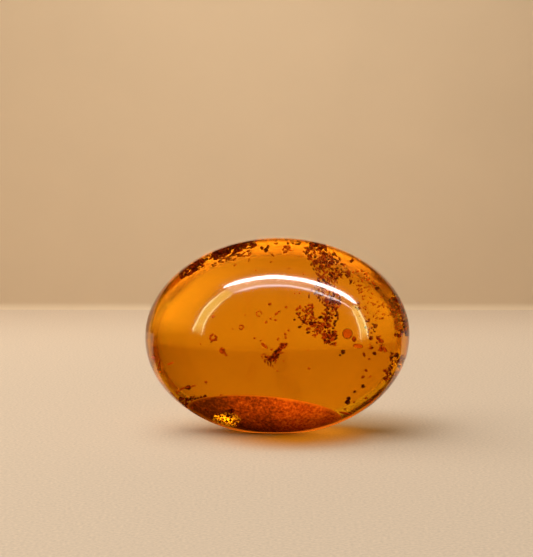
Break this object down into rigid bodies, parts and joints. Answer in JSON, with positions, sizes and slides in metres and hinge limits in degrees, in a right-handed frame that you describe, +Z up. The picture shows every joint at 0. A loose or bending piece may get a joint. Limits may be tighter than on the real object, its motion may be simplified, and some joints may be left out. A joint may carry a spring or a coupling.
{
  "type": "amber gemstone",
  "caption": "Polished oval pebble of see-through amber that stands upright on a small flat on its lower edge.",
  "frame": {"origin": "on the surface that the stone stands on, below the middle of its bounding box", "axes": "+Z up, +X along the stone's long axis towards its higher end, -Y the broad oval side that faces the viewer"},
  "size_m": [0.04, 0.016, 0.0294],
  "materials": {
    "amber": "polished"
  },
  "bodies": {
    "root": {"amber_stone": "amber"}
  },
  "joints": []
}
